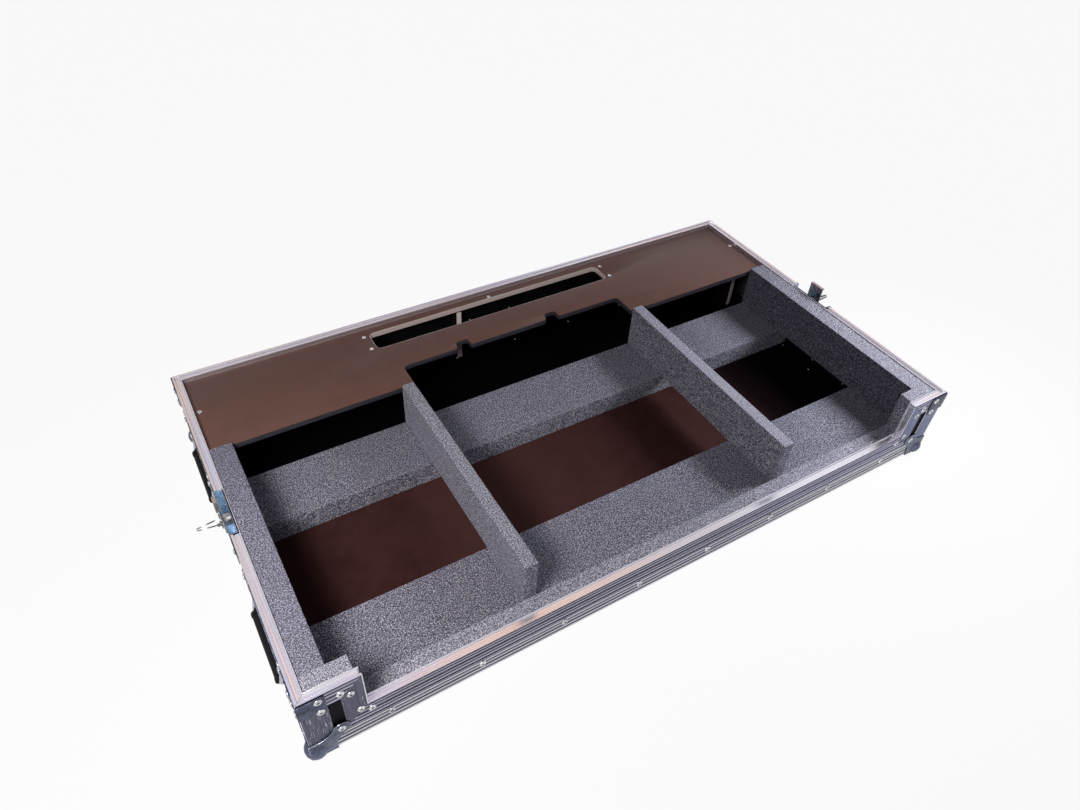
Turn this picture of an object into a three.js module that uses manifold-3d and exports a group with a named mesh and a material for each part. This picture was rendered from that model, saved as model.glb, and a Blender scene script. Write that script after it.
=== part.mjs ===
// Base tray of a flight case for two side players and a centre unit.
// Millimetres, +X to the right, +Y to the rear, +Z up. The origin is on the
// ground under the middle of the tray.
import * as THREE from 'three';
import { mergeVertices } from 'three/addons/utils/BufferGeometryUtils.js';
import Module from 'manifold-3d';

const wasm = await Module();
wasm.setup();

// Tray, measured over the outer faces of its edge profiles
const caseWidth = 1110;
const caseDepth = 620;
const caseHeight = 137;
const frontHeight = 65;
const wingWidth = 79;

// Materials and clearances
const plyThickness = 9.5;
const profileSheet = 1.6;
const steelSheet = 1.3;
const fitGap = 0.3;
const runningGap = 0.35;
const cutOverrun = 20;

// Edge angles and the closing profile along the rim
const angleLeg = 32;
const cornerLeg = 33;
const closingLeg = 30;
const channelDepth = 3;
const channelWeb = 1.4;
const outerLip = 3.4;
const lipSlope = 1.2;
const innerLip = 1.4;
const innerLipDrop = 0.8;
const innerLeg = 14;
const grooveCount = 5;
const grooveDepth = 0.5;
const grooveWidth = 1.8;

// Ball corners
const ballRadius = 15.5;
const ballInset = 8;
const ballFlat = 0.3;
const ballSheet = 1.5;
const cornerReach = 32.5;
const hollowRadius = 26;
const hollowStart = 8.5;
const tabRadius = 12;
const tabReach = 41.5;

// Braces at the top corners
const braceWidth = 33;
const braceHeight = 31;
const braceDrop = 3;
const braceRadius = 5;
const braceLobe = 8.5;
const braceRivetReach = 24.3;

// Foam lining
const sideFoam = 33.2;
const frontFoam = 22;
const foamTopDrop = 2;
const frontFoamDrop = 1.5;
const endBlock = 60;
const ledgeHeight = 40;
const ledgeDepth = 108;
const dividerThickness = 21;
const centreBay = 438;

// Cable shelf over the rear of the tray
const shelfDepth = 169.5;
const shelfDrop = 8.5;
const cutoutWidth = 434;
const cutoutDepth = 48;
const cutoutRadius = 10;
const slotWidth = 472;
const slotDepth = 44;
const slotReach = 109;
const slotRadius = 9;
const notchWidth = 27;
const notchDepth = 17;
const notchRadius = 5;
const notchSpacing = 178;
const notchShift = -13.5;
const shelfSupportSetback = 47;
const ribInset = 26.5;
const battenHeight = 15;
const postDepth = 20;
const postReach = 63;

// Side handles, each between a ball corner and the latch and between two edge profiles
const handleEndGap = 11.5;
const handleLatchGap = 37.9;
const handleFootGap = 2;
const handleTopGap = 9;
const handleFlangeEnd = 10.5;
const handleFlangeLap = 12;
const handleFlangeRadius = 8;
const handleMouthRadius = 10;
const handleRecess = 11.7;
const handleTaper = 4;
const gripMargin = 14.5;
const gripRadius = 6.5;
const gripCollar = 0.7;
const gripCollarLength = 6;
const gripFootRise = 14;
const bailWire = 3.5;
const bailBend = 4;
const bailHingeDrop = 12;
const bailHingeDepth = 3.5;
const bailOutset = 3.2;
const earRadius = 5.6;

// Butterfly latches
const latchMouthWidth = 80.6;
const latchMouthHeight = 56.3;
const latchMouthRadius = 6;
const latchFlangeLap = 5.5;
const latchRecess = 10.8;
const latchTaper = 1.5;
const latchClearance = 0.7;
const spindleDrop = 16;
const spindleDiscRadius = 11;
const spindleDiscThickness = 2;
const spindleShaft = 3;
const collarRadius = 9;
const crankRadius = 6;
const crankPin = 2.8;
const crankClearance = 1.8;
const hookThickness = 2;
const hookOutset = 3.1;
const hookWidth = 29;
const hookRise = 20;
const hookTail = 13.5;
const hookLip = 3.1;
const hookCornerRadius = 4;
const leafLength = 29;
const leafWidth = 26;
const leafThickness = 1.6;
const leafTipRadius = 8;
const leafTipTaper = 3;
const leafNeck = 4.4;
const leafBarrelLength = 10;
const leafBarrelRadius = 1.9;
const leafPin = 0.9;
const leafSpacing = 4;
const leafTipGap = 0.4;
const lugThickness = 2.4;
const lugHeight = 4.6;
const lugMargin = 2.4;

// Numbers of facets, and turns of the pieces as they stand
const roundSides = 16;
const smallSides = 12;
const ballSides = 16;
const ballRings = 10;
const cornerSteps = 3;
const arcSteps = 4;
const bailSides = 8;
const openTurn = THREE.MathUtils.degToRad(41);

// Levels and places that follow from the sizes above
const halfWidth = caseWidth / 2;
const halfDepth = caseDepth / 2;
const baseZ = ballRadius - ballInset - ballFlat;
const rimZ = baseZ + caseHeight;
const frontRimZ = baseZ + frontHeight;
const panelIn = profileSheet + fitGap;
const panelBack = panelIn + plyThickness;
const rimWidth = panelBack + fitGap + innerLip;
const panelDrop = channelDepth + channelWeb + fitGap;
const floorTop = baseZ + panelBack;
const wallFoot = floorTop + fitGap;
const foamIn = rimWidth + fitGap;
const foamFoot = floorTop + fitGap;
const foamTop = rimZ - foamTopDrop;
const shelfTop = rimZ - shelfDrop;
const shelfUnder = shelfTop - plyThickness;
const shelfRear = halfDepth - foamIn;
const shelfFront = shelfRear - shelfDepth;
const foamRear = shelfFront - fitGap;
const supportTop = shelfUnder - fitGap;
const supportFront = shelfFront + shelfSupportSetback;
const supportRear = halfDepth - panelBack - fitGap;
const sideFoamFace = halfWidth - foamIn - sideFoam;
const frontFoamFace = -halfDepth + foamIn + frontFoam;
const foamFront = frontFoamFace + fitGap;
const ledgeTop = foamFoot + ledgeHeight;
const boardFoot = ledgeTop + fitGap;
const handleEnd = halfDepth - tabReach - tabRadius - handleEndGap;
const handleStart = latchMouthWidth / 2 + steelSheet + latchFlangeLap + handleLatchGap;
const handlePlace = (handleStart + handleEnd) / 2;
const handleFlangeWidth = handleEnd - handleStart;
const handleMouthWidth = handleFlangeWidth - 2 * handleFlangeEnd;
const gripLength = handleMouthWidth - 2 * gripMargin;
const handleFoot = baseZ + angleLeg + handleFootGap;
const handleMouthHeight = rimZ - closingLeg - handleTopGap - handleFoot;
const handleFlangeHeight = handleMouthHeight + 2 * handleFlangeLap;
const handleZ = handleFoot + handleMouthHeight / 2;
const bailHingeRise = handleMouthHeight / 2 - bailHingeDrop;
const bailDrop = handleMouthHeight - bailHingeDrop - gripFootRise;
const flangeOut = -fitGap - steelSheet;
const latchFloor = flangeOut + latchRecess;
const hookFace = -hookOutset;
const hookBack = hookFace + hookThickness;
const discBack = hookFace - fitGap;
const discFace = discBack - spindleDiscThickness;
const leafAxis = discFace - leafBarrelRadius - fitGap;
const crankRise = crankRadius * (1 - (2 * openTurn) / Math.PI);

const X = new THREE.Vector3(1, 0, 0);
const Y = new THREE.Vector3(0, 1, 0);
const Z = new THREE.Vector3(0, 0, 1);
const minus = (vector) => vector.clone().negate();

const finishes = {
  aluminium: { color: 0xb9b6c2, roughness: 0.3, metalness: 0.9 },
  steel: { color: 0x8f9ab0, roughness: 0.35, metalness: 0.9 },
  brown_ply: { color: 0x5c463f, roughness: 0.45, metalness: 0 },
  black_ply: { color: 0x17141a, roughness: 0.5, metalness: 0 },
  foam: { color: 0x6b6a77, roughness: 0.95, metalness: 0 },
  rubber: { color: 0x141416, roughness: 0.7, metalness: 0 },
};

const model = new THREE.Group();

// One named mesh in its own finish, held by a group.
function add(name, finish, geometry, parent = model) {
  const mesh = new THREE.Mesh(geometry, new THREE.MeshStandardMaterial(finishes[finish]));
  mesh.name = name;
  parent.add(mesh);
  return mesh;
}

// Sets an object's frame: its own x, y and z along three directions, from an origin.
function setFrame(object, origin, along, across, up) {
  const matrix = new THREE.Matrix4().makeBasis(along, across, up).setPosition(origin);
  matrix.decompose(object.position, object.quaternion, object.scale);
  return object;
}

// The same frame, applied to a geometry's points.
function framed(geometry, origin, along, across, up) {
  return geometry.applyMatrix4(new THREE.Matrix4().makeBasis(along, across, up).setPosition(origin));
}

function solidOf(geometry) {
  const bare = geometry.clone();
  bare.deleteAttribute('normal');
  bare.deleteAttribute('uv');
  const merged = mergeVertices(bare);
  const vertProperties = new Float32Array(merged.attributes.position.array);
  const triVerts = new Uint32Array(merged.index.array);
  return new wasm.Manifold(new wasm.Mesh({ numProp: 3, vertProperties, triVerts }));
}

function geometryOf(solid) {
  const mesh = solid.getMesh();
  const geometry = new THREE.BufferGeometry();
  geometry.setAttribute('position', new THREE.BufferAttribute(mesh.vertProperties, 3));
  geometry.setIndex(new THREE.BufferAttribute(mesh.triVerts, 1));
  return geometry;
}

function join(first, ...others) {
  return geometryOf(others.reduce((sum, other) => sum.add(solidOf(other)), solidOf(first)));
}

function cut(first, ...tools) {
  return geometryOf(tools.reduce((rest, tool) => rest.subtract(solidOf(tool)), solidOf(first)));
}

// A box between two corners.
function block(low, high) {
  const size = high.clone().sub(low);
  const middle = high.clone().add(low).multiplyScalar(0.5);
  return new THREE.BoxGeometry(size.x, size.y, size.z).translate(middle.x, middle.y, middle.z);
}

function vec(x, y, z) {
  return new THREE.Vector3(x, y, z);
}

// A cylinder along local x, from one place to another.
function rod(radius, from, to, facets = roundSides) {
  const cylinder = new THREE.CylinderGeometry(radius, radius, Math.abs(to - from), facets);
  return cylinder.rotateZ(-Math.PI / 2).translate((from + to) / 2, 0, 0);
}

// The same cylinder along local y, and along local z.
function crossRod(radius, from, to, facets = roundSides) {
  return rod(radius, from, to, facets).rotateZ(Math.PI / 2);
}

function deepRod(radius, from, to, facets = roundSides) {
  return rod(radius, from, to, facets).rotateY(-Math.PI / 2);
}

// A flat plate with the outline of a shape, its thickness along local z from 0.
function plate(shape, thickness, curveSegments = arcSteps) {
  return new THREE.ExtrudeGeometry(shape, { depth: thickness, bevelEnabled: false, curveSegments });
}

// A closed skin over rings of points that follow each other, with flat ends.
function skin(rings) {
  const count = rings[0].length;
  const positions = rings.flatMap((ring) => ring.flatMap((point) => [point.x, point.y, point.z]));
  const index = [];
  for (let ring = 0; ring + 1 < rings.length; ring += 1) {
    for (let i = 0; i < count; i += 1) {
      const a = ring * count + i;
      const b = ring * count + ((i + 1) % count);
      index.push(a, b, b + count, a, b + count, a + count);
    }
  }
  const last = (rings.length - 1) * count;
  for (let i = 1; i + 1 < count; i += 1) {
    index.push(0, i + 1, i);
    index.push(last, last + i, last + i + 1);
  }
  const geometry = new THREE.BufferGeometry();
  geometry.setAttribute('position', new THREE.Float32BufferAttribute(positions, 3));
  geometry.setIndex(index);
  return geometry;
}

// A straight bar of constant section [u, v], counter-clockwise, along local x. The two cuts give
// how far each point of the section shifts the bar's start and end, so mitres need no boolean.
function bar(section, length, startCut, endCut) {
  const count = section.length;
  const contour = section.map(([u, v]) => new THREE.Vector2(u, v));
  const faces = THREE.ShapeUtils.triangulateShape(contour, []);
  const positions = [];
  section.forEach(([u, v]) => positions.push(startCut(u, v), u, v));
  section.forEach(([u, v]) => positions.push(length + endCut(u, v), u, v));
  const index = [];
  faces.forEach(([a, b, c]) => {
    index.push(a, c, b);
    index.push(a + count, b + count, c + count);
  });
  for (let i = 0; i < count; i += 1) {
    const j = (i + 1) % count;
    index.push(i, j, j + count, i, j + count, i + count);
  }
  const geometry = new THREE.BufferGeometry();
  geometry.setAttribute('position', new THREE.Float32BufferAttribute(positions, 3));
  geometry.setIndex(index);
  return geometry;
}

// The points of a straight edge from one corner towards the next, with shallow V grooves.
function groovedEdge(from, to, inward) {
  const points = [from];
  const length = Math.hypot(to[0] - from[0], to[1] - from[1]);
  const direction = [(to[0] - from[0]) / length, (to[1] - from[1]) / length];
  const at = (distance, depth) => [
    from[0] + direction[0] * distance + inward[0] * depth,
    from[1] + direction[1] * distance + inward[1] * depth,
  ];
  for (let groove = 1; groove <= grooveCount; groove += 1) {
    const middle = (length * groove) / (grooveCount + 1);
    points.push(at(middle - grooveWidth / 2, 0));
    points.push(at(middle, grooveDepth));
    points.push(at(middle + grooveWidth / 2, 0));
  }
  return points;
}

// Section of an edge angle: u runs into the tray, v along its other leg.
function angleSection(leg) {
  return [
    ...groovedEdge([0, 0], [leg, 0], [0, 1]),
    [leg, 0],
    [leg, profileSheet],
    [profileSheet, profileSheet],
    [profileSheet, leg],
    ...groovedEdge([0, leg], [0, 0], [1, 0]),
  ];
}

// Section of the closing profile: a grooved outer leg, a channel along the top between two lips,
// and a short inner leg that clasps the panel. v is 0 at the top of the rim.
function closingSection() {
  const innerFace = rimWidth - innerLip;
  const web = -channelDepth - channelWeb;
  return [
    [0, -closingLeg],
    [profileSheet, -closingLeg],
    [profileSheet, web],
    [innerFace, web],
    [innerFace, -innerLeg],
    [rimWidth, -innerLeg],
    [rimWidth, -innerLipDrop],
    [innerFace, -innerLipDrop],
    [innerFace - lipSlope, -channelDepth],
    [outerLip + lipSlope, -channelDepth],
    [outerLip, 0],
    ...groovedEdge([0, 0], [0, -closingLeg], [1, 0]),
  ];
}

// How a bar's ends are cut: square, mitred in plan, or mitred in the face of the tray.
const halfGap = fitGap / 2;
const planStart = (u) => u + halfGap;
const planEnd = (u) => -u - halfGap;
const faceStartOut = (u, v) => -v + halfGap;
const faceEndOut = (u, v) => v - halfGap;
const faceStartIn = (u, v) => v + halfGap;
const faceEndIn = (u, v) => -v - halfGap;
const squareStart = () => fitGap;
const squareEnd = () => -fitGap;

// The four sides of the tray, each with its length, the corner where its bars start and the
// directions along the bar and into the tray.
const sides = [
  { name: 'front', length: caseWidth, corner: [-1, -1], along: X, into: Y },
  { name: 'right', length: caseDepth, corner: [1, -1], along: Y, into: minus(X) },
  { name: 'rear', length: caseWidth, corner: [1, 1], along: minus(X), into: minus(Y) },
  { name: 'left', length: caseDepth, corner: [-1, 1], along: minus(Y), into: X },
];

function cornerPoint(side, z) {
  return vec(side.corner[0] * halfWidth, side.corner[1] * halfDepth, z);
}

function addPanels() {
  const outX = halfWidth - panelIn;
  const outY = halfDepth - panelIn;
  const inX = halfWidth - panelBack;
  const inY = halfDepth - panelBack;
  const panelTop = rimZ - panelDrop;
  add('floor_panel', 'brown_ply', block(vec(-outX, -outY, baseZ + panelIn), vec(outX, outY, floorTop)));
  const rearWall = block(vec(-inX + fitGap, inY, wallFoot), vec(inX - fitGap, outY, panelTop));
  add('rear_panel', 'black_ply', rearWall);

  const notch = halfWidth - wingWidth + panelDrop;
  const front = new THREE.Shape();
  front.moveTo(-inX + fitGap, wallFoot);
  front.lineTo(inX - fitGap, wallFoot);
  front.lineTo(inX - fitGap, panelTop);
  front.lineTo(notch, panelTop);
  front.lineTo(notch, frontRimZ - panelDrop);
  front.lineTo(-notch, frontRimZ - panelDrop);
  front.lineTo(-notch, panelTop);
  front.lineTo(-inX + fitGap, panelTop);
  const frontWall = add('front_panel', 'black_ply', plate(front, plyThickness));
  setFrame(frontWall, vec(0, -inY, 0), X, Z, minus(Y));

  for (const [name, sign] of [['left', -1], ['right', 1]]) {
    const latchHalf = latchMouthWidth / 2 + steelSheet + latchClearance;
    const latchFoot = rimZ - latchMouthHeight - steelSheet - latchClearance;
    const wall = new THREE.Shape();
    wall.moveTo(-outY, wallFoot);
    wall.lineTo(outY, wallFoot);
    wall.lineTo(outY, panelTop);
    wall.lineTo(latchHalf, panelTop);
    wall.lineTo(latchHalf, latchFoot);
    wall.lineTo(-latchHalf, latchFoot);
    wall.lineTo(-latchHalf, panelTop);
    wall.lineTo(-outY, panelTop);
    const holeMargin = 2 * (steelSheet + latchClearance);
    for (const place of [-handlePlace, handlePlace]) {
      const hole = new THREE.Path(
        roundedRectangle(
          handleMouthWidth + holeMargin,
          handleMouthHeight + holeMargin,
          handleMouthRadius,
        ).map((point) => new THREE.Vector2(point.x + place, point.y + handleZ)),
      );
      wall.holes.push(hole);
    }
    const panel = add(`${name}_panel`, 'black_ply', plate(wall, plyThickness));
    const face = sign > 0 ? inX : -outX;
    setFrame(panel, vec(face, 0, 0), Y, Z, X);
  }
}

// Points round a rectangle with rounded corners, counter-clockwise about the origin.
function roundedRectangle(width, height, radius) {
  const points = [];
  const middles = [[1, 1], [-1, 1], [-1, -1], [1, -1]];
  middles.forEach(([sx, sy], corner) => {
    for (let step = 0; step <= cornerSteps; step += 1) {
      const angle = (Math.PI / 2) * (corner + step / cornerSteps);
      const x = sx * (width / 2 - radius) + radius * Math.cos(angle);
      const y = sy * (height / 2 - radius) + radius * Math.sin(angle);
      points.push(new THREE.Vector2(x, y));
    }
  });
  return points;
}

function addEdgeAngles() {
  for (const side of sides) {
    const angle = bar(angleSection(angleLeg), side.length, planStart, planEnd);
    const mesh = add(`${side.name}_bottom_angle`, 'aluminium', angle);
    setFrame(mesh, cornerPoint(side, baseZ), side.along, side.into, Z);
  }
  const names = ['front_left', 'front_right', 'rear_right', 'rear_left'];
  const height = caseHeight - angleLeg - closingLeg;
  sides.forEach((side, index) => {
    const angle = bar(angleSection(cornerLeg), height, squareStart, squareEnd);
    const mesh = add(`${names[index]}_corner_angle`, 'aluminium', angle);
    setFrame(mesh, cornerPoint(side, baseZ + angleLeg), Z, side.along, side.into);
  });
}

function addRim() {
  const section = closingSection();
  for (const side of sides.filter((each) => each.name !== 'front')) {
    let rail = bar(section, side.length, planStart, planEnd);
    if (side.name !== 'rear') {
      const half = latchMouthWidth / 2 + steelSheet + latchClearance;
      const middle = side.length / 2;
      const low = vec(middle - half, -cutOverrun, -closingLeg - cutOverrun);
      rail = cut(rail, block(low, vec(middle + half, rimWidth - innerLip, cutOverrun)));
    }
    const mesh = add(`${side.name}_rim`, 'aluminium', rail);
    setFrame(mesh, cornerPoint(side, rimZ), side.along, side.into, Z);
  }
  const drop = caseHeight - frontHeight;
  const notch = halfWidth - wingWidth;
  const pieces = [
    ['left_wing_rim', wingWidth, planStart, faceEndOut, vec(-halfWidth, -halfDepth, rimZ), X, Z],
    ['right_wing_rim', wingWidth, faceStartOut, planEnd, vec(notch, -halfDepth, rimZ), X, Z],
    ['left_notch_rim', drop, faceStartOut, faceEndIn, vec(-notch, -halfDepth, rimZ), minus(Z), X],
    ['right_notch_rim', drop, faceStartIn, faceEndOut, vec(notch, -halfDepth, frontRimZ), Z, minus(X)],
    ['front_rim', 2 * notch, faceStartIn, faceEndIn, vec(-notch, -halfDepth, frontRimZ), X, Z],
  ];
  for (const [name, length, startCut, endCut, origin, along, out] of pieces) {
    const mesh = add(name, 'aluminium', bar(section, length, startCut, endCut));
    setFrame(mesh, origin, along, Y, out);
  }
}

// One face of a ball corner: two hollow arcs between the edges of the tray and a round tab that
// is riveted on the diagonal. The face runs past the edges so that three of them join.
function cornerFace() {
  const past = fitGap + ballSheet;
  const hollowReach = cornerReach + hollowRadius;
  const acrossTab = tabReach - hollowReach;
  const upTab = tabReach - hollowStart;
  const apart = Math.hypot(acrossTab, upTab);
  const spread = Math.acos(
    (hollowRadius ** 2 + apart ** 2 - tabRadius ** 2) / (2 * hollowRadius * apart),
  );
  const hollowEnd = Math.atan2(upTab, acrossTab) + spread;
  const tabStart = Math.atan2(
    hollowStart + hollowRadius * Math.sin(hollowEnd) - tabReach,
    hollowReach + hollowRadius * Math.cos(hollowEnd) - tabReach,
  );
  const shape = new THREE.Shape();
  shape.moveTo(-past, -past);
  shape.lineTo(cornerReach, -past);
  shape.absarc(hollowReach, hollowStart, hollowRadius, Math.PI, hollowEnd, true);
  shape.absarc(tabReach, tabReach, tabRadius, tabStart, Math.PI / 2 - tabStart, false);
  shape.absarc(hollowStart, hollowReach, hollowRadius, Math.PI / 2 - hollowEnd, -Math.PI / 2, true);
  shape.lineTo(-past, cornerReach);
  return plate(shape, ballSheet);
}

function ballCorner() {
  const face = cornerFace();
  const out = -fitGap - ballSheet;
  const onFront = framed(face.clone(), vec(0, -fitGap, 0), X, Z, minus(Y));
  const onSide = framed(face.clone(), vec(out, 0, 0), Y, Z, X);
  const under = framed(face.clone(), vec(0, 0, out), X, Y, Z);
  const ball = new THREE.SphereGeometry(ballRadius, ballSides, ballRings).rotateX(Math.PI / 2);
  ball.translate(ballInset, ballInset, ballInset);
  const inside = block(vec(-fitGap, -fitGap, -fitGap), vec(tabReach, tabReach, tabReach));
  const ground = block(
    vec(-tabReach, -tabReach, -tabReach),
    vec(tabReach, tabReach, ballInset + ballFlat - ballRadius),
  );
  return cut(join(onFront, onSide, under, ball), inside, ground);
}

// The flat brace over a top corner, with a lobe round its lower rivet on each face.
function cornerBrace() {
  const past = fitGap + steelSheet;
  const foot = -braceDrop - braceHeight;
  const shape = new THREE.Shape();
  shape.moveTo(-past, -braceDrop);
  shape.lineTo(-past, foot);
  shape.absarc(braceRivetReach, foot, braceLobe, Math.PI, 2 * Math.PI, false);
  shape.absarc(braceWidth - braceRadius, -braceDrop - braceRadius, braceRadius, 0, Math.PI / 2, false);
  const face = plate(shape, steelSheet);
  const onFront = framed(face.clone(), vec(0, -fitGap, 0), X, Z, minus(Y));
  const onSide = framed(face.clone(), vec(-past, 0, 0), Y, Z, X);
  return join(onFront, onSide);
}

function addCorners() {
  const names = ['front_left', 'front_right', 'rear_right', 'rear_left'];
  const ball = ballCorner();
  const brace = cornerBrace();
  sides.forEach((side, index) => {
    const corner = add(`${names[index]}_ball_corner`, 'steel', ball);
    setFrame(corner, cornerPoint(side, baseZ), side.along, side.into, Z);
    const plateMesh = add(`${names[index]}_brace`, 'steel', brace);
    setFrame(plateMesh, cornerPoint(side, rimZ), side.along, side.into, Z);
  });
}

// A path of a shape through points, with each corner rounded by its own radius.
function roundedPath(corners) {
  const path = new THREE.Shape();
  corners.forEach(([x, y, radius], index) => {
    const [ax, ay] = corners[(index + corners.length - 1) % corners.length];
    const [bx, by] = corners[(index + 1) % corners.length];
    const before = new THREE.Vector2(ax - x, ay - y).setLength(radius);
    const after = new THREE.Vector2(bx - x, by - y).setLength(radius);
    if (index === 0) path.moveTo(x + before.x, y + before.y);
    else path.lineTo(x + before.x, y + before.y);
    if (radius > 0) path.quadraticCurveTo(x, y, x + after.x, y + after.y);
  });
  return path;
}

function addShelf() {
  const outX = halfWidth - foamIn;
  const cutX = cutoutWidth / 2;
  const cutY = shelfFront + cutoutDepth;
  const notchY = cutY + notchDepth;
  const notches = [-notchSpacing / 2, notchSpacing / 2].flatMap((place) => [
    [notchShift + place - notchWidth / 2, cutY, notchRadius],
    [notchShift + place - notchWidth / 2 + notchRadius, notchY, notchRadius],
    [notchShift + place + notchWidth / 2, notchY, notchRadius],
    [notchShift + place + notchWidth / 2, cutY, notchRadius],
  ]);
  const shape = roundedPath([
    [-outX, shelfFront, 0],
    [-cutX, shelfFront, 0],
    [-cutX, cutY, cutoutRadius],
    ...notches,
    [cutX, cutY, cutoutRadius],
    [cutX, shelfFront, 0],
    [outX, shelfFront, 0],
    [outX, shelfRear, 0],
    [-outX, shelfRear, 0],
  ]);
  const slotX = slotWidth / 2;
  const slotY = shelfFront + slotReach;
  shape.holes.push(roundedPath([
    [-slotX, slotY, slotRadius],
    [slotX, slotY, slotRadius],
    [slotX, slotY + slotDepth, slotRadius],
    [-slotX, slotY + slotDepth, slotRadius],
  ]));
  add('cable_shelf', 'brown_ply', plate(shape, plyThickness, cornerSteps)).position.z = shelfUnder;

  const ribOut = halfWidth - ribInset;
  const rib = block(
    vec(ribOut - plyThickness, supportFront, foamFoot),
    vec(ribOut, supportRear, supportTop),
  );
  const batten = block(
    vec(ribOut + fitGap, supportFront, supportTop - battenHeight),
    vec(halfWidth - panelBack - fitGap, supportRear, supportTop),
  );
  for (const [name, outwards] of [['left', minus(X)], ['right', X]]) {
    setFrame(add(`${name}_shelf_rib`, 'brown_ply', rib), vec(0, 0, 0), outwards, Y, Z);
    setFrame(add(`${name}_shelf_batten`, 'brown_ply', batten), vec(0, 0, 0), outwards, Y, Z);
  }
  const postLow = vec(-postReach - plyThickness / 2, supportRear - postDepth, foamFoot);
  const post = block(postLow, vec(-postReach + plyThickness / 2, supportRear, supportTop));
  add('middle_shelf_post', 'brown_ply', post);
}

function addFoam() {
  const outX = halfWidth - foamIn;
  const stripTop = frontRimZ - frontFoamDrop;
  const front = new THREE.Shape();
  front.moveTo(-outX, foamFoot);
  front.lineTo(outX, foamFoot);
  front.lineTo(outX, foamTop);
  front.lineTo(outX - endBlock, foamTop);
  front.lineTo(outX - endBlock, stripTop);
  front.lineTo(-outX + endBlock, stripTop);
  front.lineTo(-outX + endBlock, foamTop);
  front.lineTo(-outX, foamTop);
  const frontMesh = add('front_foam', 'foam', plate(front, frontFoam));
  setFrame(frontMesh, vec(0, frontFoamFace, 0), X, Z, minus(Y));

  const ledgeX = halfWidth - panelBack - fitGap;
  const ledge = block(vec(-ledgeX, 0, foamFoot), vec(ledgeX, ledgeDepth, ledgeTop));
  add('front_foam_ledge', 'foam', ledge).position.y = foamFront;
  add('rear_foam_ledge', 'foam', ledge).position.y = foamRear - ledgeDepth;

  const wall = block(vec(outX - sideFoam, foamFront, boardFoot), vec(outX, foamRear, foamTop));
  const inner = centreBay / 2;
  const divider = block(
    vec(inner, foamFront, boardFoot),
    vec(inner + dividerThickness, foamRear, foamTop),
  );
  for (const [name, outwards] of [['left', minus(X)], ['right', X]]) {
    setFrame(add(`${name}_foam_wall`, 'foam', wall), vec(0, 0, 0), outwards, Y, Z);
    setFrame(add(`${name}_foam_divider`, 'foam', divider), vec(0, 0, 0), outwards, Y, Z);
  }
}

// A group on the outer face of the left or right side: local x runs to the rear, y upwards and
// z into the tray, so the right side is the mirror of the left.
function sideGroup(name, y, z) {
  const sign = name === 'right' ? 1 : -1;
  const into = X.clone().multiplyScalar(-sign);
  const group = setFrame(new THREE.Group(), vec(sign * halfWidth, y, z), Y, Z, into);
  model.add(group);
  return group;
}

// A pressed dish: a flat flange with a tapered recess. Local z runs into the tray from the
// flange's outer face.
function pressedDish(flange, mouth, depth, taper) {
  const ring = (outline, grow, z) => {
    const { width, height, radius } = outline;
    const points = roundedRectangle(width + grow, height + grow, radius + grow / 2);
    return points.map((point) => vec(point.x, point.y, z));
  };
  const walls = 2 * steelSheet;
  return skin([
    ring(mouth, -taper, depth),
    ring(mouth, 0, 0),
    ring(flange, 0, 0),
    ring(flange, 0, steelSheet),
    ring(mouth, walls, steelSheet),
    ring(mouth, walls - taper, depth + steelSheet),
  ]);
}

// A round wire along points in one plane, whose normal is given.
function wire(points, normal, radius, facets) {
  const rings = points.map((point, index) => {
    const before = points[Math.max(index - 1, 0)];
    const after = points[Math.min(index + 1, points.length - 1)];
    const arriving = (index > 0 ? point : after).clone().sub(index > 0 ? before : point).normalize();
    const leaving = (after === point ? point : after).clone();
    leaving.sub(after === point ? before : point).normalize();
    const tangent = arriving.clone().add(leaving).normalize();
    const across = normal.clone().cross(tangent);
    const mitre = radius / arriving.dot(tangent);
    return Array.from({ length: facets }, (unused, facet) => {
      const angle = (2 * Math.PI * facet) / facets;
      return point
        .clone()
        .addScaledVector(across, mitre * Math.cos(angle))
        .addScaledVector(normal, radius * Math.sin(angle));
    });
  });
  return skin(rings);
}

// The wire bail of a handle, hanging from its hinge at the origin, with the moulded grip on it.
function handleBail() {
  const armX = gripLength / 2 + bailWire + fitGap;
  const endX = handleMouthWidth / 2 - steelSheet - runningGap;
  const hang = vec(0, -bailDrop, -bailOutset - bailHingeDepth);
  const corners = [
    vec(-endX, 0, 0),
    vec(-armX, 0, 0),
    vec(-armX, hang.y, hang.z),
    vec(armX, hang.y, hang.z),
    vec(armX, 0, 0),
    vec(endX, 0, 0),
  ];
  const path = corners.flatMap((corner, index) => {
    if (index === 0 || index === corners.length - 1) return [corner];
    const from = corners[index - 1].clone().sub(corner).setLength(bailBend).add(corner);
    const to = corners[index + 1].clone().sub(corner).setLength(bailBend).add(corner);
    return new THREE.QuadraticBezierCurve3(from, corner, to).getPoints(cornerSteps);
  });
  const bail = wire(path, hang.clone().normalize().cross(X).normalize(), bailWire, bailSides);
  const end = gripLength / 2;
  const grip = [
    rod(gripRadius, -end, end, smallSides),
    rod(gripRadius + gripCollar, -end, gripCollarLength - end, smallSides),
    rod(gripRadius + gripCollar, end - gripCollarLength, end, smallSides),
  ];
  return join(bail, ...grip.map((piece) => piece.translate(hang.x, hang.y, hang.z)));
}

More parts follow.
